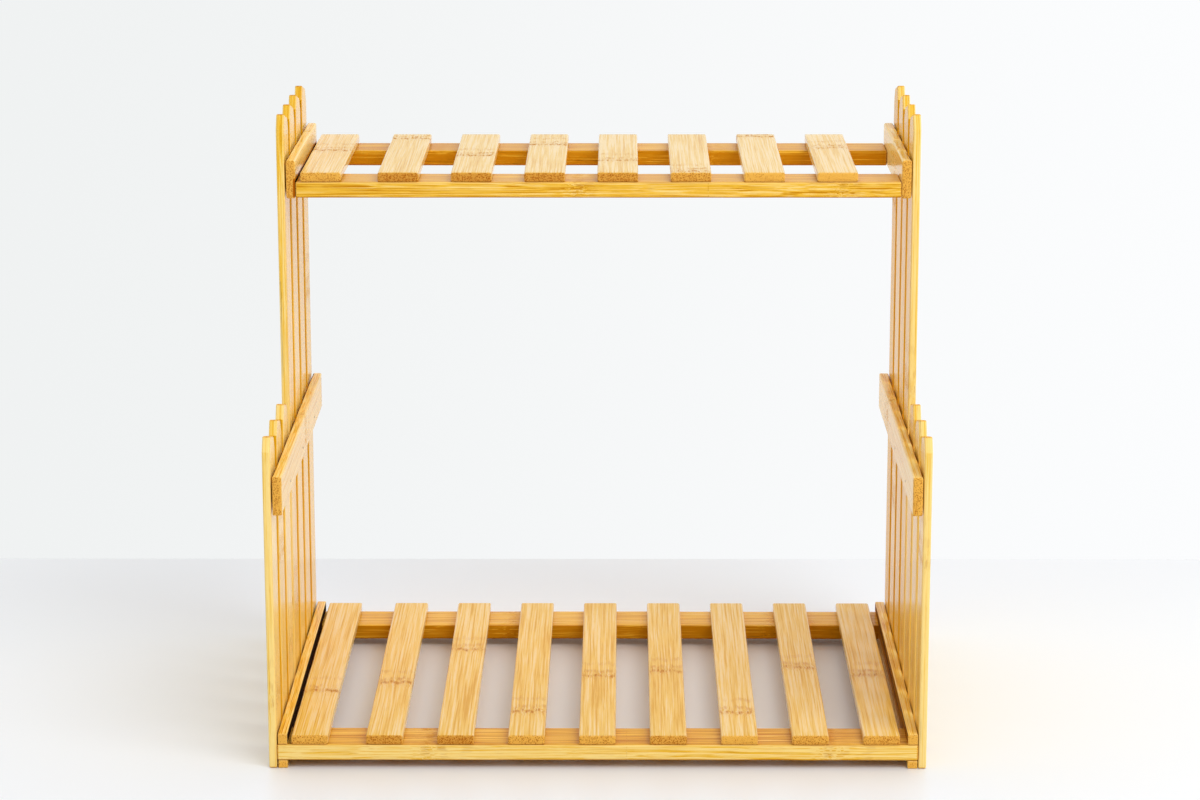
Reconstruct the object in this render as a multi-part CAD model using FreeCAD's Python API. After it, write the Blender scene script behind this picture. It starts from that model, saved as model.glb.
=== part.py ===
"""Two-tier slatted shelf of bamboo boards, held together with brads.

Each side panel is a row of upright pickets nailed to three side rails. Two pairs of long rails
join the panels, and slats lie across each pair. Millimetres, +Z up, +Y to the rear, with the
origin on the floor under the middle of the shelf.
"""
import FreeCAD, Part
import os

os.makedirs("parts", exist_ok=True)

# Overall size
overall_width = 400.0
overall_depth = 280.0
tall_height = 382.0
short_height = 207.0

# Pickets, counted from front to rear: between its clipped corners each top falls towards the rear
short_count = 3
tall_count = 4
picket_width = 31.0
picket_thickness = 5.0
ear_width = 6.0
ear_height = 9.0
top_fall = 4.5

# Side rails: the middle and top ones lie this far below the tops of the pickets
side_rail_height = 24.0
side_rail_thickness = 6.5
short_reach = 24.0
tall_reach = 28.5

# Long rails: the lower pair sits in slots between a foot and a tongue of the bottom side rails,
# and the upper pair a little above the lower edges of the top side rails
long_rail_depth = 33.0
long_rail_height = 10.0
foot_height = 5.0
tongue_height = 7.0
upper_rail_rise = 0.5
slot_clearance = 0.2

# Slats: the first step from the left is a little wider than the others
slat_thickness = 6.0
lower_slat_count = 9
lower_slat_width = 22.5
lower_left_gap = 2.2
lower_right_gap = 4.6
lower_first_extra = 2.3
upper_slat_count = 8
upper_slat_width = 25.5
upper_left_gap = 3.0
upper_right_gap = 27.0
upper_first_extra = 2.6

# Rounding of every board's edges
edge_radius = 1.0

# Brads: a round shank with a point and a flat head, let in flush
shank_diameter = 1.0
point_length = 1.5
head_diameter = 1.6
head_height = 0.5
bore_clearance = 0.05

# Wood that is left beyond the points of the brads, and how far a rail's brads go into its end
panel_cover = 2.0
slat_cover = 2.5
rail_bite = 20.0

# Places of the brads, from the edges of the boards or from each other
side_rail_brad_inset = 7.0
slat_brad_inset = 6.0
long_rail_brad_inset = 5.0
rail_brad_spread = 6.0

# Places that follow from the sizes above
outer_x = overall_width / 2
panel_x = outer_x - picket_thickness
inner_x = panel_x - side_rail_thickness
front_y = -overall_depth / 2
rear_y = overall_depth / 2
picket_count = short_count + tall_count
picket_pitch = (overall_depth - picket_width) / (picket_count - 1)
upper_front_y = front_y + short_count * picket_pitch
lower_rail_top = foot_height + long_rail_height
bottom_rail_top = lower_rail_top + tongue_height
middle_rail_base = short_height - short_reach - side_rail_height
top_rail_base = tall_height - tall_reach - side_rail_height
upper_rail_base = top_rail_base + upper_rail_rise
upper_rail_top = upper_rail_base + long_rail_height
panel_brad_length = side_rail_thickness + picket_thickness - panel_cover
slat_brad_length = long_rail_height + slat_thickness - slat_cover
lower_rail_brad_length = picket_thickness + rail_bite
upper_rail_brad_length = picket_thickness + side_rail_thickness + rail_bite


def eased(shape):
    """The shape with all its edges rounded."""
    return shape.makeFillet(edge_radius, shape.Edges)


def block(x, y, z):
    """A plain block between three pairs of lowest and highest coordinates."""
    corner = FreeCAD.Vector(x[0], y[0], z[0])
    return Part.makeBox(x[1] - x[0], y[1] - y[0], z[1] - z[0], corner)


def board(x, y, z):
    """A straight board with eased edges."""
    return eased(block(x, y, z))


def picket(front, height):
    """A left picket with both top corners clipped, standing on the floor."""
    rear = front + picket_width
    rear_height = height - top_fall
    outline = [
        (front, 0),
        (rear, 0),
        (rear, rear_height - ear_height),
        (rear - ear_width, rear_height),
        (front + ear_width, height),
        (front, height - ear_height),
    ]
    corners = [FreeCAD.Vector(-outer_x, y, z) for y, z in outline]
    face = Part.Face(Part.makePolygon(corners + corners[:1]))
    return eased(face.extrude(FreeCAD.Vector(picket_thickness, 0, 0)))


def bottom_side_rail():
    """The left bottom rail, with a slot in each end for a lower long rail."""
    rail = board((-panel_x, -inner_x), (front_y, rear_y), (0, bottom_rail_top))
    slot_z = (foot_height, lower_rail_top + slot_clearance)
    slot_depth = long_rail_depth + slot_clearance
    front_slot = block((-panel_x, -inner_x), (front_y, front_y + slot_depth), slot_z)
    rear_slot = block((-panel_x, -inner_x), (rear_y - slot_depth, rear_y), slot_z)
    return rail.cut(front_slot).cut(rear_slot)


def slat_row(count, width, left_gap, right_gap, first_extra, y, base):
    """A row of slats across one shelf, from left to right."""
    run = 2 * inner_x - left_gap - right_gap - width - first_extra
    pitch = run / (count - 1)
    slats = []
    for index in range(count):
        left = -inner_x + left_gap + index * pitch
        if index > 0:
            left += first_extra
        slats.append(board((left, left + width), y, (base, base + slat_thickness)))
    return slats


def brad(head, direction, length):
    """A brad from the top of its head to its point."""
    radius = shank_diameter / 2
    point_start = head + direction * (length - point_length)
    cap = Part.makeCylinder(head_diameter / 2, head_height, head, direction)
    shank = Part.makeCylinder(radius, length - point_length, head, direction)
    point = Part.makeCone(radius, 0, point_length, point_start, direction)
    return cap.fuse([shank, point]).removeSplitter()


def brad_bore(head, direction, length):
    """The hole that a brad fills, a little wider than the brad."""
    cap = Part.makeCylinder(head_diameter / 2 + bore_clearance, head_height, head, direction)
    radius = shank_diameter / 2 + bore_clearance
    return cap.fuse(Part.makeCylinder(radius, length + bore_clearance, head, direction))


def mirrored(shape):
    """The same shape on the other side of the shelf."""
    return shape.mirror(FreeCAD.Vector(0, 0, 0), FreeCAD.Vector(1, 0, 0))


def left_panel_brads():
    """A brad where each left picket crosses a side rail, driven from outside and inside in turn."""
    heights = (
        bottom_rail_top - tongue_height / 2,
        middle_rail_base + side_rail_brad_inset,
        top_rail_base + side_rail_brad_inset,
    )
    places = []
    for index in range(picket_count):
        middle = front_y + index * picket_pitch + picket_width / 2
        crossed = heights[:2] if index < short_count else heights
        from_inside = index % 2 == 1
        head_x = -inner_x if from_inside else -outer_x
        direction = FreeCAD.Vector(-1 if from_inside else 1, 0, 0)
        for height in crossed:
            places.append((FreeCAD.Vector(head_x, middle, height), direction, panel_brad_length))
    return places


def slat_brads(slats, rails):
    """Brads from below, two through each long rail into each slat."""
    upwards = FreeCAD.Vector(0, 0, 1)
    places = []
    for rail in rails:
        near = rail.BoundBox.YMin + long_rail_brad_inset
        far = rail.BoundBox.YMax - long_rail_brad_inset
        for slat in slats:
            left = slat.BoundBox.XMin + slat_brad_inset
            right = slat.BoundBox.XMax - slat_brad_inset
            places.append(FreeCAD.Vector(left, near, rail.BoundBox.ZMin))
            places.append(FreeCAD.Vector(right, far, rail.BoundBox.ZMin))
    return [(place, upwards, slat_brad_length) for place in places]


def left_rail_brads(picket_fronts, rail_base, length):
    """Brads from outside the left panel, two through each picket into the end of a long rail."""
    inwards = FreeCAD.Vector(1, 0, 0)
    places = []
    for front in picket_fronts:
        middle = front + picket_width / 2
        for y in (middle - rail_brad_spread / 2, middle + rail_brad_spread / 2):
            places.append(FreeCAD.Vector(-outer_x, y, rail_base + long_rail_height / 2))
    return [(place, inwards, length) for place in places]


def other_side(places):
    """The same brads on the other side of the shelf."""
    across = []
    for head, direction, length in places:
        other_head = FreeCAD.Vector(-head.x, head.y, head.z)
        across.append((other_head, direction * -1, length))
    return across


def bored(shape, bores):
    """The board without the bores that reach it."""
    return shape.cut([bore for bore in bores if bore.BoundBox.intersect(shape.BoundBox)])


# Side panels: the left one is modelled and the right one mirrored
boards = {}
left_panel = {}
for index in range(picket_count):
    height = short_height if index < short_count else tall_height
    left_panel[f"picket_{index + 1}"] = picket(front_y + index * picket_pitch, height)
left_panel["bottom_rail"] = bottom_side_rail()
left_panel["middle_rail"] = board(
    (-panel_x, -inner_x), (front_y, rear_y), (middle_rail_base, middle_rail_base + side_rail_height)
)
left_panel["top_rail"] = board(
    (-panel_x, -inner_x), (upper_front_y, rear_y), (top_rail_base, top_rail_base + side_rail_height)
)
for name, shape in left_panel.items():
    boards["left_" + name] = shape
    boards["right_" + name] = mirrored(shape)

# Long rails: the lower pair reaches the pickets, the upper pair the top side rails
rear_run = (rear_y - long_rail_depth, rear_y)
lower_rails = [
    board((-panel_x, panel_x), run, (foot_height, lower_rail_top))
    for run in ((front_y, front_y + long_rail_depth), rear_run)
]
upper_rails = [
    board((-inner_x, inner_x), run, (upper_rail_base, upper_rail_top))
    for run in ((upper_front_y, upper_front_y + long_rail_depth), rear_run)
]
boards["lower_front_rail"], boards["lower_rear_rail"] = lower_rails
boards["upper_front_rail"], boards["upper_rear_rail"] = upper_rails

# Slats
lower_slats = slat_row(
    lower_slat_count, lower_slat_width, lower_left_gap, lower_right_gap, lower_first_extra,
    (front_y, rear_y), lower_rail_top,
)
upper_slats = slat_row(
    upper_slat_count, upper_slat_width, upper_left_gap, upper_right_gap, upper_first_extra,
    (upper_front_y, rear_y), upper_rail_top,
)
for index, slat in enumerate(lower_slats, start=1):
    boards[f"lower_slat_{index}"] = slat
for index, slat in enumerate(upper_slats, start=1):
    boards[f"upper_slat_{index}"] = slat

# Brads, in groups by what they hold
rear_picket_y = rear_y - picket_width
panel_brads = left_panel_brads()
lower_end_brads = left_rail_brads((front_y, rear_picket_y), foot_height, lower_rail_brad_length)
upper_end_brads = left_rail_brads((upper_front_y, rear_picket_y), upper_rail_base, upper_rail_brad_length)
brad_groups = {
    "left_panel_brads": panel_brads,
    "right_panel_brads": other_side(panel_brads),
    "lower_slat_brads": slat_brads(lower_slats, lower_rails),
    "upper_slat_brads": slat_brads(upper_slats, upper_rails),
    "lower_rail_brads": lower_end_brads + other_side(lower_end_brads),
    "upper_rail_brads": upper_end_brads + other_side(upper_end_brads),
}
bores = [brad_bore(*place) for group in brad_groups.values() for place in group]

for name, shape in boards.items():
    bored(shape, bores).exportStep(f"parts/{name}.step")
for name, group in brad_groups.items():
    Part.makeCompound([brad(*place) for place in group]).exportStep(f"parts/{name}.step")
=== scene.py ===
"""Finish, light and camera for the two-tier slatted bamboo shelf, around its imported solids.

Every board is a surface of its own that stands for one solid, with edges eased by hand. It carries
grain coordinates, so that the bamboo runs along the board, across its nodes and over its end grain.
Metres, +Z up, +Y to the rear.
"""

import itertools
import math
from types import SimpleNamespace

import bpy
import numpy as np
from mathutils import Matrix, Vector


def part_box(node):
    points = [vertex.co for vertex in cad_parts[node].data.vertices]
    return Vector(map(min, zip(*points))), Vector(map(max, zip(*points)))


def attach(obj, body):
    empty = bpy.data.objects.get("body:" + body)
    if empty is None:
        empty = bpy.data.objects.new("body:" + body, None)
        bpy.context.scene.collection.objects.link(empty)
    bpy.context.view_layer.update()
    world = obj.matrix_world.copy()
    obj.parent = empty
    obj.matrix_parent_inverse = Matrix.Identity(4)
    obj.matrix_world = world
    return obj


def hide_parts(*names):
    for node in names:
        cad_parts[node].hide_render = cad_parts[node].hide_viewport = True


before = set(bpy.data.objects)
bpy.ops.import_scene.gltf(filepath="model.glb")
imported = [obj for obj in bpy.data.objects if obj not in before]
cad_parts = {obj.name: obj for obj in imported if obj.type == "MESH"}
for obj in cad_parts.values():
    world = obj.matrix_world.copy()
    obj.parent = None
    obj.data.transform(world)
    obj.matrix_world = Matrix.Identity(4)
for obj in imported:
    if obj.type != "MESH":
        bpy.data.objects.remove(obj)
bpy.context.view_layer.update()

MM = 0.001
X, Y, Z = range(3)

# Slots of the boards' finishes
PICKET, RAIL, SLAT = "picket_bamboo", "rail_bamboo", "slat_bamboo"

# Camera: a long lens a little above the shelf, with its angles in radians
SENSOR_WIDTH_MM = 36.0
LENS_MM = 102.36
CAMERA_PLACE = (0.01535, -2.1085, 0.6979)
CAMERA_PITCH = 0.2331
CAMERA_TURN = 0.0069
CAMERA_ROLL = -0.001

# Table, as far as the wall
TABLE_REAR = 0.3216
TABLE_REACH = 3.0
TABLE_DROP = 0.05 * MM
TABLE_ROUGHNESS = 0.4

# Windows: place, size and power in watts of two soft lamps, both turned to one point
WINDOWS = {
    "right_window": ((1.3, -1.6, 2.1), 2.0, 42),
    "left_window": ((-0.8, -1.7, 2.1), 2.4, 5),
}
WINDOW_AIM = (0, 0, 0.15)

# Room: its strength, and the parts of a direction between which it turns from dim to bright, towards
# the rear for its light and for what the lacquer mirrors, and towards the right for the wall
ROOM_STRENGTH = 1.12
LIGHT_TURN = (-0.2, 0.6)
MIRROR_TURN = (-0.6, 0.4)
WALL_TURN = (-0.2, 0.2)

# Boards: sanded a little below the solids' faces and crooked by a hair, with eased ends and with edges
# rounded by hand, to a radius that wanders
SANDING = 0.08 * MM
EDGE_RADIUS = 1.1 * MM
EDGE_WANDER = 0.3
EDGE_PITCH = 25 * MM
LEAST_RADIUS = 0.25 * MM
END_EASING = 1.0 * MM
CROOK = 0.06 * MM
CROOK_PITCH = 70 * MM

# Points of a board's mesh: stations along it, and points of each corner, flat side and eased end
STATION_PITCH = 5 * MM
CORNER_POINTS = 6
FLAT_POINTS = 8
END_POINTS = 6

# Pickets: the front ones are short, and each has clipped corners and a top that falls to the rear
# over a sheared stretch; its narrow faces carry a painted shade that deepens towards a sharp line below
# the clipped corners
SHORT_PICKETS = 3
EAR_WIDTH = 6 * MM
EAR_HEIGHT = 9 * MM
TOP_FALL = 4.5 * MM
SHEARED = 40 * MM
SHADED = 40 * MM
EAR_LINE = 0.6 * MM

# Side rails stand off the pickets by a hair, and the slots in the bottom ones leave a little room
RAIL_GAPS = {"left": 0.7 * MM, "right": 0.35 * MM}
SLOT_ROOM = 0.2 * MM
SLOT_RADIUS = 0.7 * MM
SLOT_EASING = 0.5 * MM

# Along the upper outer edge, a side rail carries the painted shade of its gap to the pickets where it
# faces outwards and upwards by more than these parts of a direction
SEAM_OUTWARDS = 0.5
SEAM_UPWARDS = 0.1
# A bottom side rail carries that painted shade in so many rings from its outer face, where they face
# upwards by more than a part of a direction
BOTTOM_SEAM_RINGS = END_POINTS // 2
BOTTOM_SEAM_UPWARDS = 0.5
# Beside the first upper slat, the left top rail carries the painted shade of the gap from this depth
# below the slat's top, where it faces inwards by more than a part of a direction
GAP_DEPTH = 4.5 * MM
GAP_INWARDS = 0.9

# Draws: seeds, and how far boards may be moved in the grain, in metres
PANEL_SEED = 11
FIRST_BOARD_SEED = 100
GRAIN_SPREAD = 7.0
# Place of a picket's node in shares of its height, and of a side rail's in millimetres behind the middle
PICKET_NODES = (0.1, 0.9)
SIDE_RAIL_NODES_MM = (0, 130)
# Spread of the pickets' tones
TONE_SPREAD = 0.1
# A bottom side rail has no node, so its node is put this far away
FAR_NODE = 1.0

# Tones: 0 is middling, 0.5 pale and -0.5 deep, and a gap that no light reaches is far below
GAP_SHADE_TONES = {"left": -2.0, "right": -1.2}
# Outer faces of the pickets, undersides of boards that lie flat, which carry painted shade, and the
# painted shade that the pickets' narrow faces take below their clipped corners
OUTER_TONE = 0.5
UNDER_SHADE_TONE = -0.5
EAR_SHADE = 0.3
# Pickets, from front to rear: tone of the wide inner face and of the narrow faces, with painted light
# and shade in both: the inner faces deepen towards the rear and are deeper on the right panel, which
# faces away from the light, and most narrow faces between pickets are deep with painted shade
PICKET_LIGHT_AND_SHADE_TONES = {
    "left": (
        (0.5, 0.42), (0.38, -0.7), (0.3, -0.7),
        (0.22, 0.25), (0.18, -0.7), (0.15, -0.7), (0.15, -0.7),
    ),
    "right": (
        (0.15, 0.52), (0.1, 0.1), (0.03, 0.1),
        (-0.07, 0.4), (-0.07, -0.7), (-0.07, -0.7), (-0.07, -0.7),
    ),
}
# Clipped corners and ends of the pickets
EAR_TONES = {"left": {"short": 0.28, "tall": -0.15}, "right": {"short": 0.35, "tall": 0.1}}
# Middle and top side rails: tone of the wide faces, the narrow ones and the ends
SIDE_RAIL_TONES = {"middle": (0.35, 0.25, 0.15), "top": (0.6, 0.3, 0.1)}
# Bottom side rails: tone of the faces and the ends
BOTTOM_RAIL_TONES = (0.1, 0.45)
# Long rails: places of the nodes in millimetres from the middle towards the right, tone of the wide
# faces and tone of the narrow ones. The deep wide faces, and the deep narrow faces of the rear rails
# below the slats, are partly painted shade
LONG_RAILS = {
    "lower_front_rail": ((-103, 142), -0.25, 0.35),
    "lower_rear_rail": ((-60, 118), -0.1, -0.55),
    "upper_front_rail": ((-13, 151), -0.25, 0.0),
    "upper_rear_rail": ((-128, 70), -0.3, -0.6),
}
LONG_RAIL_END_TONE = 0.0
# Slats, from left to right: place of the node in millimetres from the middle of the shelf towards the
# rear, tone of the faces and tone of the ends
SLATS = {
    "lower": (
        (-52, 0.12, 0.1), (-38, 0.04, -0.2), (34, 0.06, -0.3), (-93, -0.05, 0.1), (-21, -0.05, 0.15),
        (-12, -0.05, -0.1), (-95, 0.18, 0.4), (-4, 0.12, 0.05), (-20, 0.22, 0.0),
    ),
    "upper": (
        (73, 0.15, 0.15), (121, 0.15, -0.3), (52, 0.18, -0.25), (96, 0.12, -0.25),
        (32, 0.15, -0.2), (-9, 0.18, -0.05), (130, 0.25, 0.4), (84, 0.3, 0.6),
    ),
}

# Noise, in cells per metre: in bamboo along, across and through a board, and in steel along each axis
BAND_BREAKS = 5
BROAD_CELLS = (7, 30, 30)
SWAY_CELLS = (9, 40, 40)
SWIRL_CELLS = (160, 260, 260)
PORE_CELLS = (90, 2400, 2400)
DASH_CELLS = (60, 900, 900)
WAVE_CELLS = (8, 240, 240)
BUNDLE_CELLS = (0, 300, 300)
BUNDLES_PER_METRE = 1200
STEEL_CELLS = (1800, 1800, 1800)

# Values between which pores, dashes and dots of end grain come up
PORE_STEP = (0.62, 0.74)
DASH_STEP = (0.42, 0.6)
DOT_STEP = (0.65, 0.05)

# Nodes: how far the swirl around them goes, along the board and across it
NODE_REACH = 7 * MM
SWIRL = 6 * MM
# Rows of dashes in a node, by place and strength
NODE_ROWS = ((0, 0.9), (9 * MM, 0.6), (24 * MM, 0.4))
# Reach of a row's waves, how many cells each row has more than the last, and the distances from the
# middle of a row between which it comes up
ROW_WAVE = 18 * MM
ROW_CELLS_STEP = 60
ROW_EDGE = (4.0 * MM, 1.4 * MM)

# Fibres: wide bands for each fine line, and the shares of the bands and of the broad changes
BAND_LINES = 0.24
BAND_SHARE = 0.15
BROAD_SHARE = 0.12

# Shares of what lies over the fibres: pores, the halo of a node, edges that show wear and a painted
# highlight, and the painted shade of edges that look down
PORE_SHARE = 0.3
HALO_SHARE = 0.15
WORN_AND_HIGHLIGHT_SHARE = 0.5
UNDER_EDGE_SHADE_SHARE = 0.6

# End grain: how deep its bundles are, and how deep it is between them
BUNDLE_DEPTH = 2.0
END_DEPTH = 0.1

# Lacquer: its index, what fibres and raw places add to its roughness, and its relief
LACQUER_IOR = 1.15
FIBRE_ROUGHNESS = 0.1
RAW_ROUGHNESS = 0.4
RELIEF = 0.1 * MM
RELIEF_STRENGTH = 0.25

# Steel: roughness of its dark spots, what the bright ones add, and how metallic it is
STEEL_ROUGHNESS = 0.3
STEEL_MOTTLING = 0.3
STEEL_METALLIC = 0.9


def linear(red, green, blue):
    """A colour in screen values from 0 to 255, as the linear values that shaders take.

    By the sRGB curve: a straight line for dark values and a power for the others.
    """
    screen = np.array((red, green, blue)) / 255
    dark = screen / 12.92
    bright = ((screen + 0.055) / 1.055) ** 2.4
    return (*np.where(screen <= 0.04045, dark, bright).tolist(), 1.0)


# Colours of the room, the table and the brads
WALL_LEFT = linear(240, 242, 242)
WALL_RIGHT = linear(252, 253, 254)
DIM_FRONT = linear(110, 108, 105)
ROOM_LIGHT = linear(180, 181, 182)
TABLE_WHITE = linear(242, 244, 247)
# The brads' steel is also darkened to stand for the painted shade of the holes around them
STEEL_DARK = linear(50, 42, 36)
STEEL_BRIGHT = linear(110, 100, 90)

# Colours that all boards share, and the values and colours of each kind of board
BAMBOO_COLOURS = {
    "Gap": linear(46, 24, 4),
    "Deep": linear(202, 130, 2),
    "Middle": linear(244, 190, 58),
    "Pale": linear(255, 222, 138),
    "Node": linear(188, 114, 8),
    "End deep": linear(174, 92, 0),
    "End pale": linear(240, 180, 76),
}
FINISHES = {
    PICKET: {
        "Lines per metre": 1100.0, "Breaks per metre": 8.0, "Contrast": 2.7, "Sway": 3 * MM,
        "Node share": 0.45, "Least roughness": 0.13,
        "Deep": linear(224, 160, 0), "Middle": linear(244, 193, 64),
    },
    RAIL: {
        "Lines per metre": 1400.0, "Breaks per metre": 12.0, "Contrast": 3.2, "Sway": 6 * MM,
        "Node share": 0.5, "Least roughness": 0.14,
    },
    SLAT: {
        "Lines per metre": 1000.0, "Breaks per metre": 14.0, "Contrast": 3.7, "Sway": 2 * MM,
        "Node share": 0.9, "Least roughness": 0.1,
        "Deep": linear(222, 166, 50), "Middle": linear(239, 196, 94), "Pale": linear(245, 215, 154),
    },
}


class Graph:
    """A node tree, with short words for the nodes that the finishes use."""

    def __init__(self, tree):
        self.tree = tree

    def add(self, kind):
        """A new node."""
        return self.tree.nodes.new(kind)

    def feed(self, socket, value):
        """Link another node's output to an input, or set the input to a plain value."""
        if isinstance(value, bpy.types.NodeSocket):
            self.tree.links.new(value, socket)
        else:
            socket.default_value = value

    def calc(self, operation, first, second=0.0):
        """One step of arithmetic."""
        node = self.add("ShaderNodeMath")
        node.operation = operation
        self.feed(node.inputs[0], first)
        self.feed(node.inputs[1], second)
        return node.outputs[0]

    def times(self, first, second):
        """The product of two values."""
        return self.calc("MULTIPLY", first, second)

    def plus(self, first, second):
        """The sum of two values."""
        return self.calc("ADD", first, second)

    def minus(self, first, second):
        """The first value less the second."""
        return self.calc("SUBTRACT", first, second)

    def larger(self, first, second):
        """The larger of two values."""
        return self.calc("MAXIMUM", first, second)

    def step(self, value, low, high):
        """A smooth step from 0 at low to 1 at high."""
        node = self.add("ShaderNodeMapRange")
        node.interpolation_type = "SMOOTHSTEP"
        self.feed(node.inputs["Value"], value)
        self.feed(node.inputs["From Min"], low)
        self.feed(node.inputs["From Max"], high)
        return node.outputs["Result"]

    def point(self, x, y, z):
        """A vector from three values."""
        node = self.add("ShaderNodeCombineXYZ")
        for socket, value in zip(node.inputs, (x, y, z)):
            self.feed(socket, value)
        return node.outputs[0]

    def axes(self, vector):
        """The three values of a vector."""
        node = self.add("ShaderNodeSeparateXYZ")
        self.feed(node.inputs[0], vector)
        return node.outputs[:]

    def noise(self, place, cells_per_metre, detail=2.0, roughness=0.55):
        """Soft noise about 0.5, at a place of three values, with so many cells to the metre."""
        node = self.add("ShaderNodeTexNoise")
        self.feed(node.inputs["Vector"], self.point(*map(self.times, place, cells_per_metre)))
        node.inputs["Scale"].default_value = 1.0
        node.inputs["Detail"].default_value = detail
        node.inputs["Roughness"].default_value = roughness
        return node.outputs["Fac"]

    def waver(self, place, cells_per_metre, reach):
        """Noise that goes to both sides of nothing, about a quarter of the reach either way."""
        return self.times(self.minus(self.noise(place, cells_per_metre), 0.5), reach)

    def mix(self, share, first, second):
        """The first colour, turning into the second as the share goes from 0 to 1."""
        node = self.add("ShaderNodeMix")
        node.data_type = "RGBA"
        self.feed(node.inputs["Factor"], share)
        self.feed(node.inputs["A"], first)
        self.feed(node.inputs["B"], second)
        return node.outputs["Result"]


def fibre_value(graph, place, swayed, given):
    """Light and dark of the fibres: fine lines, wider bands and broad changes along the board.

    Their sum, less its middle, is stretched by the contrast and raised by the tone. It is 0 on deep
    fibres, 0.5 on middling ones, 1 on pale ones and -1 in the painted shade of a gap. The fine lines are
    given beside it.
    """
    lines = given["Lines per metre"]
    band_lines = graph.times(lines, BAND_LINES)
    fine = graph.noise(swayed, (given["Breaks per metre"], lines, lines), detail=3.0, roughness=0.6)
    bands = graph.noise(swayed, (BAND_BREAKS, band_lines, band_lines))
    broad = graph.noise(place, BROAD_CELLS, detail=1.0)
    value = graph.plus(graph.times(bands, BAND_SHARE), graph.times(broad, BROAD_SHARE))
    value = graph.minus(graph.plus(fine, value), 0.5 * (1 + BAND_SHARE + BROAD_SHARE))
    value = graph.plus(graph.times(value, given["Contrast"]), 0.5)
    return fine, graph.plus(value, given["Tone"])


def fibre_colour(graph, swayed, value, given):
    """Colour of the fibres by their value, with deep pores in it."""
    colour = graph.mix(graph.step(value, 0.0, 0.5), given["Deep"], given["Middle"])
    colour = graph.mix(graph.step(value, 0.5, 1.0), colour, given["Pale"])
    # Far below, the value turns into the painted shade of a gap
    colour = graph.mix(graph.step(value, -0.5, -1.0), colour, given["Gap"])
    pores = graph.step(graph.noise(swayed, PORE_CELLS, detail=1.0), *PORE_STEP)
    return graph.mix(graph.times(pores, PORE_SHARE), colour, given["Deep"])


def node_dashes(graph, place, from_node):
    """A bamboo node: wavy rows of short dashes, one strong and two fainter ones further on."""
    breaks = graph.step(graph.noise(place, DASH_CELLS), *DASH_STEP)
    along, across, through = WAVE_CELLS
    dashes = 0.0
    for row, (offset, strength) in enumerate(NODE_ROWS):
        wavy = graph.waver(place, (along, across + row * ROW_CELLS_STEP, through), ROW_WAVE)
        away = graph.calc("ABSOLUTE", graph.minus(graph.plus(from_node, wavy), offset))
        dashes = graph.larger(dashes, graph.times(graph.step(away, *ROW_EDGE), strength))
    return graph.times(dashes, breaks)


def end_bundles(graph, place):
    """End grain: the cut ends of the fibre bundles, as dark dots that come and go."""
    across, through = (graph.times(value, BUNDLES_PER_METRE) for value in place[1:])
    cells = graph.add("ShaderNodeTexVoronoi")
    cells.inputs["Scale"].default_value = 1.0
    graph.feed(cells.inputs["Vector"], graph.point(0.0, across, through))
    dots = graph.step(cells.outputs["Distance"], *DOT_STEP)
    return graph.times(dots, graph.noise(place, BUNDLE_CELLS, detail=3.0))


def end_colour(graph, bundles, given):
    """Colour of the end grain, deep on its bundles and where the board's tone is deep."""
    share = graph.plus(graph.times(bundles, BUNDLE_DEPTH), END_DEPTH)
    share = graph.larger(graph.minus(share, given["Tone"]), 0.0)
    share = graph.calc("MINIMUM", share, 1.0)
    return graph.mix(share, given["End pale"], given["End deep"])


def bamboo_sockets(tree):
    """What the bamboo group is given and what it makes."""
    values = (
        "Tone", "Lines per metre", "Breaks per metre", "Contrast", "Sway",
        "Node share", "Least roughness",
    )
    sockets = (
        ("INPUT", "NodeSocketVector", ("Grain", "Board")),
        ("INPUT", "NodeSocketFloat", values),
        ("INPUT", "NodeSocketColor", BAMBOO_COLOURS),
        ("OUTPUT", "NodeSocketColor", ("Colour",)),
        ("OUTPUT", "NodeSocketFloat", ("Roughness", "Height")),
    )
    for direction, kind, names in sockets:
        for name in names:
            tree.interface.new_socket(name=name, in_out=direction, socket_type=kind)


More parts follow.
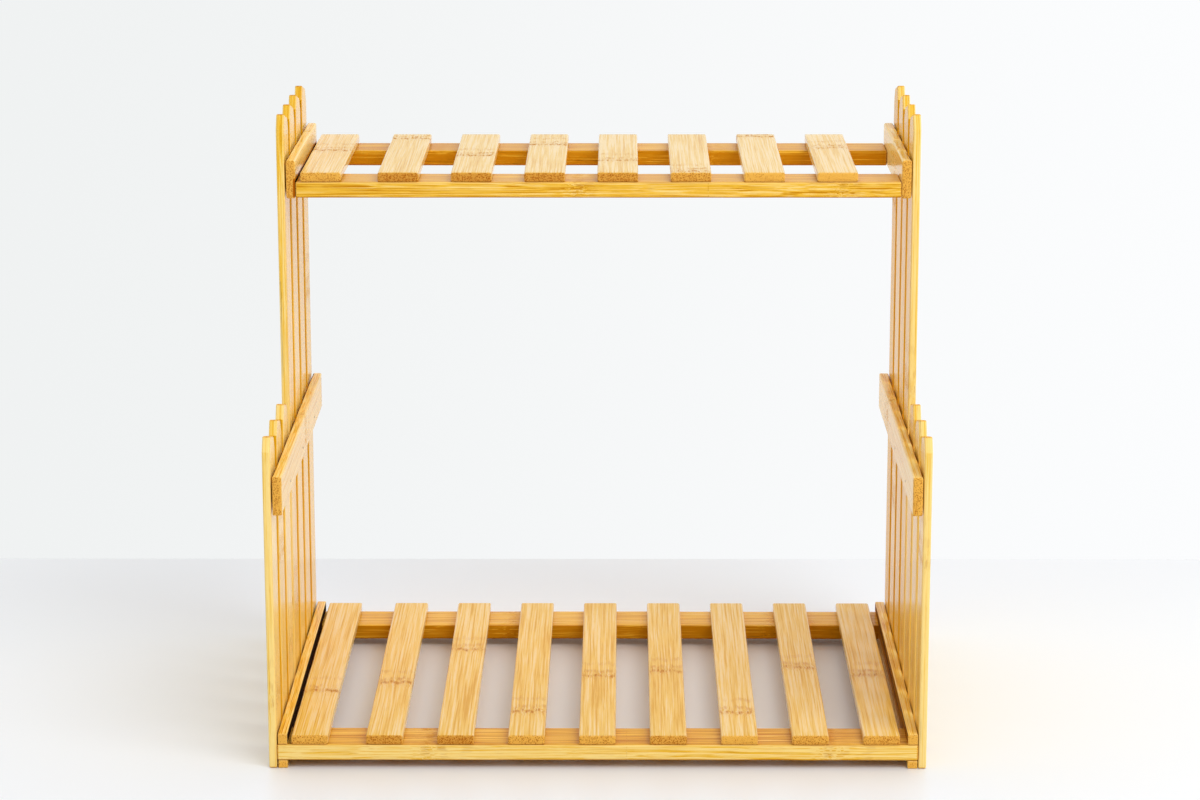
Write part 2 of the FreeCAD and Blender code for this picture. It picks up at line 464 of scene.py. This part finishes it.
def bamboo_group():
    """Bamboo, from a point in the board and from what the board has there.

    Grain is the point, along, across and through the board. Board holds the distance from the
    nearest node, the share of end grain and the share of eased edge, which is below 0 on edges that
    look down, where it carries painted shade.
    """
    tree = bpy.data.node_groups.new("bamboo", "ShaderNodeTree")
    bamboo_sockets(tree)
    graph = Graph(tree)
    given = graph.add("NodeGroupInput").outputs
    made = graph.add("NodeGroupOutput").inputs
    place = graph.axes(given["Grain"])
    from_node, end, edge = graph.axes(given["Board"])

    # Fibres sway gently along the board and swirl close to a node
    nearness = graph.times(from_node, 1 / NODE_REACH)
    nearness = graph.calc("EXPONENT", graph.times(graph.times(nearness, nearness), -1))
    swirl = graph.times(graph.waver(place, SWIRL_CELLS, SWIRL), nearness)
    sway = graph.times(graph.waver(place, SWAY_CELLS, 1.0), given["Sway"])
    swayed = (place[0], graph.plus(place[1], graph.plus(sway, swirl)), place[2])

    # Over the fibres lie the nodes, the edges with wear and a painted highlight, the end grain and the
    # painted shade of edges that look down
    fine, value = fibre_value(graph, place, swayed, given)
    colour = fibre_colour(graph, swayed, value, given)
    dashes = node_dashes(graph, place, from_node)
    node_share = graph.larger(dashes, graph.times(nearness, HALO_SHARE))
    colour = graph.mix(graph.times(node_share, given["Node share"]), colour, given["Node"])
    worn_and_highlit = graph.times(graph.step(edge, 0.0, 1.0), graph.step(given["Tone"], -0.5, 0.0))
    colour = graph.mix(graph.times(worn_and_highlit, WORN_AND_HIGHLIGHT_SHARE), colour, given["Pale"])
    bundles = end_bundles(graph, place)
    colour = graph.mix(end, colour, end_colour(graph, bundles, given))
    under_shade = graph.times(graph.step(edge, 0.0, -1.0), UNDER_EDGE_SHADE_SHARE)
    colour = graph.mix(under_shade, colour, given["End deep"])

    # Deep places, end grain and nodes are raw, and so rougher; painted shade counts as a deep place
    raw_or_shaded = graph.larger(graph.times(given["Tone"], -1), graph.larger(end, dashes))
    rough = graph.plus(graph.times(fine, FIBRE_ROUGHNESS), given["Least roughness"])
    rough = graph.plus(rough, graph.times(raw_or_shaded, RAW_ROUGHNESS))
    graph.feed(made["Colour"], colour)
    graph.feed(made["Roughness"], rough)
    graph.feed(made["Height"], graph.minus(fine, graph.times(bundles, end)))
    return tree


def surface_material(name):
    """A new material, with its node tree and its principled shader."""
    material = bpy.data.materials.new(name)
    material.use_nodes = True
    return material, Graph(material.node_tree), material.node_tree.nodes["Principled BSDF"]


def bamboo_material(slot, group):
    """Lacquered bamboo for one kind of board, on the values that the boards carry."""
    material, graph, shader = surface_material(slot)
    bamboo = graph.add("ShaderNodeGroup")
    bamboo.node_tree = group
    for name, output in (("Grain", "Vector"), ("Board", "Vector"), ("Tone", "Fac")):
        source = graph.add("ShaderNodeAttribute")
        source.attribute_name = name.lower()
        graph.feed(bamboo.inputs[name], source.outputs[output])
    for name, value in (BAMBOO_COLOURS | FINISHES[slot]).items():
        bamboo.inputs[name].default_value = value
    bump = graph.add("ShaderNodeBump")
    bump.inputs["Strength"].default_value = RELIEF_STRENGTH
    bump.inputs["Distance"].default_value = RELIEF
    graph.feed(bump.inputs["Height"], bamboo.outputs["Height"])
    graph.feed(shader.inputs["Base Color"], bamboo.outputs["Colour"])
    graph.feed(shader.inputs["Roughness"], bamboo.outputs["Roughness"])
    graph.feed(shader.inputs["Normal"], bump.outputs["Normal"])
    shader.inputs["IOR"].default_value = LACQUER_IOR
    return material


def steel_material():
    """Dull steel of the brads, mottled by handling and dark as painted shade of their holes."""
    material, graph, shader = surface_material("brad_steel")
    place = graph.axes(graph.add("ShaderNodeTexCoord").outputs["Object"])
    spots = graph.noise(place, STEEL_CELLS, detail=3.0)
    rough = graph.plus(graph.times(spots, STEEL_MOTTLING), STEEL_ROUGHNESS)
    graph.feed(shader.inputs["Base Color"], graph.mix(spots, STEEL_DARK, STEEL_BRIGHT))
    graph.feed(shader.inputs["Roughness"], rough)
    shader.inputs["Metallic"].default_value = STEEL_METALLIC
    return material


def wandering(places, pitch, draws):
    """A smooth random curve: a value from -1 to 1 every pitch, joined by smooth steps."""
    knots = draws.uniform(-1, 1, int(places[-1] / pitch) + 3)
    index = (places / pitch).astype(int)
    share = places / pitch - index
    share = share * share * (3 - 2 * share)
    return knots[index] * (1 - share) + knots[index + 1] * share


def quarter_turn(count):
    """Angles of a quarter turn."""
    return np.linspace(0, math.pi / 2, count)


def board_box(node, gap=0.0):
    """Corners of a solid's box, drawn in by the sanding and, on its outer side, by a gap."""
    low, high = (np.array(corner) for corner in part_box(node))
    low += SANDING
    high -= SANDING
    if low[X] > 0:
        high[X] -= gap
    elif high[X] < 0:
        low[X] += gap
    return low, high


def ring_skin(name, places):
    """A closed skin over rings of points: quads between the rings and a flat face in each end ring."""
    rings, points = places.shape[:2]
    index = np.arange(rings * points).reshape(rings, points)
    beside = np.roll(index, -1, 1)
    quads = np.stack((index[:-1], beside[:-1], beside[1:], index[1:]), -1).reshape(-1, 4)
    faces = quads.tolist() + [index[0, ::-1].tolist(), index[-1].tolist()]
    mesh = bpy.data.meshes.new(name)
    mesh.from_pydata(places.reshape(-1, 3), [], faces)
    mesh.polygons.foreach_set("use_smooth", [True] * len(quads) + [False, False])
    return mesh


def carry(mesh, place, nodes, end, edge, tone, draws):
    """Give a board's points what its bamboo needs, from arrays over the rings and their points."""
    grain = np.stack(place, -1) + draws.uniform(-GRAIN_SPREAD, GRAIN_SPREAD, 3)
    offsets = place[0][..., None] - nodes
    nearest = np.abs(offsets).argmin(-1)[..., None]
    from_node = np.take_along_axis(offsets, nearest, -1)[..., 0]
    board = np.stack((from_node, end, edge), -1)
    for name, values in (("grain", grain), ("board", board)):
        layer = mesh.attributes.new(name, "FLOAT_VECTOR", "POINT")
        layer.data.foreach_set("vector", values.astype("f4").ravel())
    layer = mesh.attributes.new("tone", "FLOAT", "POINT")
    layer.data.foreach_set("value", tone.astype("f4").ravel())


def rounded_section():
    """A rounded rectangle as a pattern for any size.

    Each point hangs on a centre, in shares of the half sizes less the radius, and is pushed from it
    by the radius. Quarter turns and straight runs follow each other round the four corners.
    """
    corners = np.array(((1, 1), (-1, 1), (-1, -1), (1, -1)), float)
    turns = np.arange(4)[:, None] * math.pi / 2 + quarter_turn(CORNER_POINTS)
    arc_push = np.stack((np.cos(turns), np.sin(turns)), -1)
    arc_centre = np.repeat(corners[:, None], CORNER_POINTS, 1)
    share = np.linspace(0, 1, FLAT_POINTS + 2)[1:-1, None]
    run_centre = corners[:, None] * (1 - share) + np.roll(corners, -1, 0)[:, None] * share
    run_push = np.repeat(arc_push[:, -1:], FLAT_POINTS, 1)
    centre = np.concatenate((arc_centre, run_centre), 1).reshape(-1, 2)
    push = np.concatenate((arc_push, run_push), 1).reshape(-1, 2)
    corner = np.repeat(np.arange(4), CORNER_POINTS + FLAT_POINTS)
    return centre, push, corner


def stations(length):
    """Places along a board: a steady pitch, close at the eased ends, and a pair at the ear line."""
    rise = END_EASING * (1 - np.cos(quarter_turn(END_POINTS)))
    run = np.linspace(END_EASING, length - END_EASING, int(length / STATION_PITCH))[1:-1]
    ear_start = length - EAR_HEIGHT
    along = np.concatenate((rise, run, length - rise, [ear_start, ear_start + EAR_LINE]))
    return np.sort(along)[:, None]


def board_shape(node, length_axis, gap, eared, draws):
    """The arrays of a board over its rings and their points: a rounded rectangle carried along it.

    Towards each end the section draws in on a quarter circle, and along the way the radius of each
    edge wanders. The section of an eared board narrows in a straight line over its last stretch,
    and leans so that the top falls to the rear.
    """
    low, high = board_box(node, gap)
    middle = (low + high) / 2
    sizes = high - low
    thin, wide = sorted({X, Y, Z} - {length_axis}, key=lambda axis: sizes[axis])
    length, width, thickness = sizes[[length_axis, wide, thin]]

    along = stations(length)
    to_end = np.minimum(np.minimum(along, length - along) / END_EASING, 1)
    inset = END_EASING * (1 - np.sqrt(1 - (1 - to_end) ** 2))
    ear = EAR_WIDTH * np.clip((along - length) / EAR_HEIGHT + 1, 0, 1) if eared else 0

    centre, push, corner = rounded_section()
    wander = np.stack([wandering(along[:, 0], EDGE_PITCH, draws) for _ in range(4)], 1)
    radius = np.maximum(EDGE_RADIUS * (1 + EDGE_WANDER * wander) - inset, LEAST_RADIUS)[:, corner]
    crook = CROOK * wandering(along[:, 0], CROOK_PITCH, draws)[:, None]
    straight = centre[:, 0] * (width / 2 - inset - radius) + push[:, 0] * radius + crook
    across = straight - centre[:, 0] * ear
    through = centre[:, 1] * (thickness / 2 - inset - radius) + push[:, 1] * radius
    lengthwise = np.repeat(along - length / 2, len(corner), 1)
    if eared:
        flat = width - 2 * EAR_WIDTH
        lean = np.clip((along - length + SHEARED) / (SHEARED - EAR_HEIGHT), 0, 1)
        lengthwise -= TOP_FALL * lean * np.clip(across / flat + 0.5, 0, 1)

    places = np.empty((*across.shape, 3))
    for axis, values in ((length_axis, lengthwise), (wide, across), (thin, through)):
        places[..., axis] = values + middle[axis]
    return SimpleNamespace(
        places=places, grain=(lengthwise, straight, through), middle=middle, wide=wide, thin=thin,
        push=push, ear=ear, below_top=length - along, to_end=to_end,
        end=np.repeat(np.sqrt(1 - to_end), len(corner), 1),
    )


def board_tone(shape, tones, gap, eared, dark_below):
    """Tones of a board's points, from those of its wide faces, its narrow faces and its ends.

    An eared board is pale outside and takes a painted shade below its clipped corners, which are like
    its ends. A board that lies flat is deep underneath, as painted shade. A board with a gap behind it
    has painted shade along its upper outer edge, and its inner face may carry painted shade below a
    height, in the gap beside a slat.
    """
    wide_tone, narrow_tone, end_tone = tones
    outwards = shape.push[:, 1] * np.sign(shape.middle[X])
    if eared:
        wide_tone = np.where(outwards > 0, OUTER_TONE, wide_tone)
        # The narrow faces take a painted shade below the clipped corners
        shade = EAR_SHADE * np.clip((EAR_HEIGHT - shape.below_top) / SHADED + 1, 0, 1)
        narrow_tone = np.where(shape.ear > 0, end_tone, narrow_tone - shade)
    # Boards that lie flat carry painted shade underneath
    elif shape.thin == Z:
        wide_tone = np.where(shape.push[:, 1] < 0, UNDER_SHADE_TONE, wide_tone)
    tone = wide_tone + (narrow_tone - wide_tone) * shape.push[:, 0] ** 2
    tone = tone + (end_tone - tone) * shape.end
    gap_shade_tone = GAP_SHADE_TONES["left" if shape.middle[X] < 0 else "right"]
    # Painted shade along the upper outer edge beside the pickets, and in the gap beside a slat
    if gap:
        upwards = shape.push[:, 0]
        seam_shade = (outwards > SEAM_OUTWARDS) & (upwards > SEAM_UPWARDS) & (shape.to_end == 1)
        tone = np.where(seam_shade, gap_shade_tone, tone)
    if dark_below is not None:
        unlit = (outwards < -GAP_INWARDS) & (shape.places[..., Z] < dark_below)
        tone = np.where(unlit, gap_shade_tone, tone)
    return tone


def swept_board(node, length_axis, nodes_mm, tones, seed, gap=0.0, eared=False, dark_below=None):
    """A straight board that stands for a solid, with its nodes at places along it."""
    draws = np.random.default_rng(seed)
    shape = board_shape(node, length_axis, gap, eared, draws)
    mesh = ring_skin(node + "_board", shape.places)
    # Axes in a left-handed order turn the skin inside out
    if np.linalg.det(np.eye(3)[[shape.wide, shape.thin, length_axis]]) < 0:
        mesh.flip_normals()

    # Eased edges count below 0, for painted shade, where they look down, which those of an upright
    # board don't
    push = shape.push
    looks_down = length_axis != Z and push[:, (shape.wide, shape.thin).index(Z)] < 0
    edge = 2 * np.abs(push[:, 0] * push[:, 1]) * np.where(looks_down, -1, 1)
    edge = np.repeat(edge[None], len(shape.places), 0)
    nodes = np.array(nodes_mm) * MM - shape.middle[length_axis]
    tone = board_tone(shape, tones, gap, eared, dark_below)
    carry(mesh, shape.grain, nodes, shape.end, edge, tone, draws)
    return mesh


def slotted_outline(low, high):
    """Outline of a bottom side rail in a box, as points and the directions in which they face.

    It has a slot for a long rail in each end, and each corner turns on a quarter circle.
    """
    rail_low, rail_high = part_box("lower_front_rail")
    front, rear, base, top = low[Y], high[Y], low[Z], high[Z]
    foot, tongue = rail_low.z - SANDING, rail_high.z + SLOT_ROOM
    front_slot, rear_slot = rail_high.y + SLOT_ROOM, -rail_high.y - SLOT_ROOM
    corners = np.array((
        (front, base), (rear, base),
        (rear, foot), (rear_slot, foot), (rear_slot, tongue), (rear, tongue),
        (rear, top), (front, top),
        (front, tongue), (front_slot, tongue), (front_slot, foot), (front, foot),
    ))
    leaving = np.roll(corners, -1, 0) - corners
    leaving /= np.linalg.norm(leaving, axis=1, keepdims=True)
    coming = np.roll(leaving, 1, 0)
    sine, cosine = np.sin(quarter_turn(CORNER_POINTS)), np.cos(quarter_turn(CORNER_POINTS))
    back = SLOT_RADIUS * (1 - sine)[:, None] * coming[:, None]
    on = SLOT_RADIUS * (1 - cosine)[:, None] * leaving[:, None]
    outline = (corners[:, None] - back + on).reshape(-1, 2)
    heading = (cosine[:, None] * coming[:, None] + sine[:, None] * leaving[:, None]).reshape(-1, 2)
    return outline, np.stack((heading[:, 1], -heading[:, 0]), -1)


def slotted_rail(node, tones, gap, seed):
    """A bottom side rail that stands for its solid: its outline carried through its thickness.

    Towards both faces the outline draws in on a quarter circle. The tones are those of the faces,
    the ends and the painted shade of the gaps, on the upper half of the inner face beside a slat and
    along the upper outer edge.
    """
    draws = np.random.default_rng(seed)
    low, high = board_box(node, gap)
    outline, outward = slotted_outline(low, high)
    turn = quarter_turn(END_POINTS)
    rise = SLOT_EASING * (1 - np.cos(turn))
    draw_in = SLOT_EASING * (1 - np.sin(turn))
    x = np.concatenate((low[X] + rise, high[X] - rise[::-1]))[:, None]
    inset = np.concatenate((draw_in, draw_in[::-1]))[:, None]
    flat_y, flat_z = (outline[:, axis] - outward[:, axis] * inset for axis in (0, 1))
    through = np.repeat(x, len(outline), 1)
    mesh = ring_skin(node + "_board", np.stack((through, flat_y, flat_z), -1))

    # The wall is 1 between the faces, 0 on them, and in between on the eased edges
    wall = 1 - inset / SLOT_EASING
    end = outward[:, 0] ** 2 * wall
    edge = np.maximum(2 * np.abs(outward[:, 0] * outward[:, 1]) * wall, 1 - np.abs(2 * wall - 1))
    place = (flat_y, flat_z - (low[Z] + high[Z]) / 2, through - (low[X] + high[X]) / 2)
    face_tone, end_tone, gap_shade_tone = tones
    tone = face_tone + (end_tone - face_tone) * end
    on_left = high[X] < 0
    inner_face = -1 if on_left else 0
    outer_edge = slice(0, BOTTOM_SEAM_RINGS) if on_left else slice(-BOTTOM_SEAM_RINGS, None)
    # Painted shade on the upper half of the inner face and along the upper outer edge
    tone[inner_face] = np.where(place[1][inner_face] > 0, gap_shade_tone, face_tone)
    tone[outer_edge, (outward[:, 1] > BOTTOM_SEAM_UPWARDS) & (place[1][0] > 0)] = gap_shade_tone
    carry(mesh, place, np.array((FAR_NODE,)), end, edge, tone, draws)
    return mesh


def stand_for(node, mesh, slot, materials):
    """Put a board in its solid's place."""
    mesh.materials.append(materials[slot])
    piece = bpy.data.objects.new(node + "_board", mesh)
    bpy.context.scene.collection.objects.link(piece)
    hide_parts(node)
    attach(piece, "root")


def dress_panel(side, materials, draws, seeds):
    """A side panel: its pickets from front to rear, and its three side rails."""
    gap = RAIL_GAPS[side]
    for index, (wide_tone, narrow_tone) in enumerate(PICKET_LIGHT_AND_SHADE_TONES[side], start=1):
        node = f"{side}_picket_{index}"
        knuckle = draws.uniform(*PICKET_NODES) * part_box(node)[1].z / MM
        wide_tone += draws.uniform(-TONE_SPREAD, TONE_SPREAD)
        ear_tone = EAR_TONES[side]["short" if index <= SHORT_PICKETS else "tall"]
        tones = (wide_tone, narrow_tone, ear_tone)
        mesh = swept_board(node, Z, (knuckle,), tones, next(seeds), eared=True)
        stand_for(node, mesh, PICKET, materials)
    upper_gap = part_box("upper_slat_1")[1].z - GAP_DEPTH
    for level, tones in SIDE_RAIL_TONES.items():
        node = f"{side}_{level}_rail"
        knuckle = draws.uniform(*SIDE_RAIL_NODES_MM)
        dark_below = upper_gap if node == "left_top_rail" else None
        mesh = swept_board(node, Y, (knuckle,), tones, next(seeds), gap, dark_below=dark_below)
        stand_for(node, mesh, RAIL, materials)
    node = f"{side}_bottom_rail"
    mesh = slotted_rail(node, (*BOTTOM_RAIL_TONES, GAP_SHADE_TONES[side]), gap, next(seeds))
    stand_for(node, mesh, RAIL, materials)


def dress_shelves(materials, seeds):
    """Both shelves: the long rails, and the slats across them."""
    for node, (knuckles, wide_tone, narrow_tone) in LONG_RAILS.items():
        tones = (wide_tone, narrow_tone, LONG_RAIL_END_TONE)
        mesh = swept_board(node, X, knuckles, tones, next(seeds))
        stand_for(node, mesh, RAIL, materials)
    for tier, slats in SLATS.items():
        for index, (knuckle, tone, end_tone) in enumerate(slats, start=1):
            node = f"{tier}_slat_{index}"
            mesh = swept_board(node, Y, (knuckle,), (tone, tone, end_tone), next(seeds))
            stand_for(node, mesh, SLAT, materials)


def dress_brads():
    """The brads keep their solids and get their steel."""
    steel = steel_material()
    for name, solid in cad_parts.items():
        if name.endswith("brads"):
            solid.data.materials.clear()
            solid.data.materials.append(steel)


def table():
    """A plain pale table, which ends where the wall begins."""
    mesh = bpy.data.meshes.new("table")
    left, right, front = -TABLE_REACH, TABLE_REACH, -TABLE_REACH
    corners = [(left, front), (right, front), (right, TABLE_REAR), (left, TABLE_REAR)]
    mesh.from_pydata([(x, y, -TABLE_DROP) for x, y in corners], [], [(0, 1, 2, 3)])
    material, _, shader = surface_material("table")
    shader.inputs["Base Color"].default_value = TABLE_WHITE
    shader.inputs["Roughness"].default_value = TABLE_ROUGHNESS
    mesh.materials.append(material)
    piece = bpy.data.objects.new("table", mesh)
    bpy.context.scene.collection.objects.link(piece)


def pale_room():
    """A white room, with a pale wall at the rear and less light from its other sides.

    Towards the front, where nothing shows, the room that the lacquer mirrors is dim.
    """
    world = bpy.data.worlds.new("pale_room")
    world.use_nodes = True
    world.node_tree.nodes.clear()
    graph = Graph(world.node_tree)
    path = graph.add("ShaderNodeLightPath").outputs
    x, y, _ = graph.axes(graph.add("ShaderNodeTexCoord").outputs["Generated"])
    light, mirror, backdrop = (graph.add("ShaderNodeBackground") for _ in range(3))
    graph.feed(light.inputs["Color"], graph.mix(graph.step(y, *LIGHT_TURN), ROOM_LIGHT, WALL_RIGHT))
    light.inputs["Strength"].default_value = ROOM_STRENGTH
    graph.feed(mirror.inputs["Color"], graph.mix(graph.step(y, *MIRROR_TURN), DIM_FRONT, WALL_RIGHT))
    graph.feed(backdrop.inputs["Color"], graph.mix(graph.step(x, *WALL_TURN), WALL_LEFT, WALL_RIGHT))
    straight = graph.larger(path["Is Camera Ray"], path["Is Transmission Ray"])
    shown = light.outputs[0]
    for share, shader in ((path["Is Glossy Ray"], mirror), (straight, backdrop)):
        either = graph.add("ShaderNodeMixShader")
        graph.feed(either.inputs[0], share)
        graph.feed(either.inputs[1], shown)
        graph.feed(either.inputs[2], shader.outputs[0])
        shown = either.outputs[0]
    graph.feed(graph.add("ShaderNodeOutputWorld").inputs["Surface"], shown)
    bpy.context.scene.world = world


def soft_lamp(name, place, size, power):
    """A square soft lamp at a place, turned to the windows' aim."""
    lamp = bpy.data.lights.new(name, "AREA")
    lamp.size = size
    lamp.energy = power
    holder = bpy.data.objects.new(name, lamp)
    holder.location = place
    holder.rotation_euler = (Vector(place) - Vector(WINDOW_AIM)).to_track_quat("Z", "Y").to_euler()
    bpy.context.scene.collection.objects.link(holder)


def photo_camera():
    """The camera of the photograph: turned, tilted down from level, and rolled a hair."""
    lens = bpy.data.cameras.new("camera")
    lens.sensor_width = SENSOR_WIDTH_MM
    lens.lens = LENS_MM
    holder = bpy.data.objects.new("camera", lens)
    turn = Matrix.Rotation(CAMERA_TURN, 4, "Z")
    tilt = Matrix.Rotation(math.pi / 2 - CAMERA_PITCH, 4, "X")
    roll = Matrix.Rotation(CAMERA_ROLL, 4, "Z")
    holder.matrix_world = Matrix.Translation(CAMERA_PLACE) @ turn @ tilt @ roll
    bpy.context.scene.collection.objects.link(holder)
    bpy.context.scene.camera = holder


bamboo = bamboo_group()
materials = {slot: bamboo_material(slot, bamboo) for slot in FINISHES}
panel_draws = np.random.default_rng(PANEL_SEED)
board_seeds = itertools.count(FIRST_BOARD_SEED)
for side in ("left", "right"):
    dress_panel(side, materials, panel_draws, board_seeds)
dress_shelves(materials, board_seeds)
dress_brads()
table()
pale_room()
for name, (place, size, power) in WINDOWS.items():
    soft_lamp(name, place, size, power)
photo_camera()
bpy.context.scene.view_settings.view_transform = "Standard"
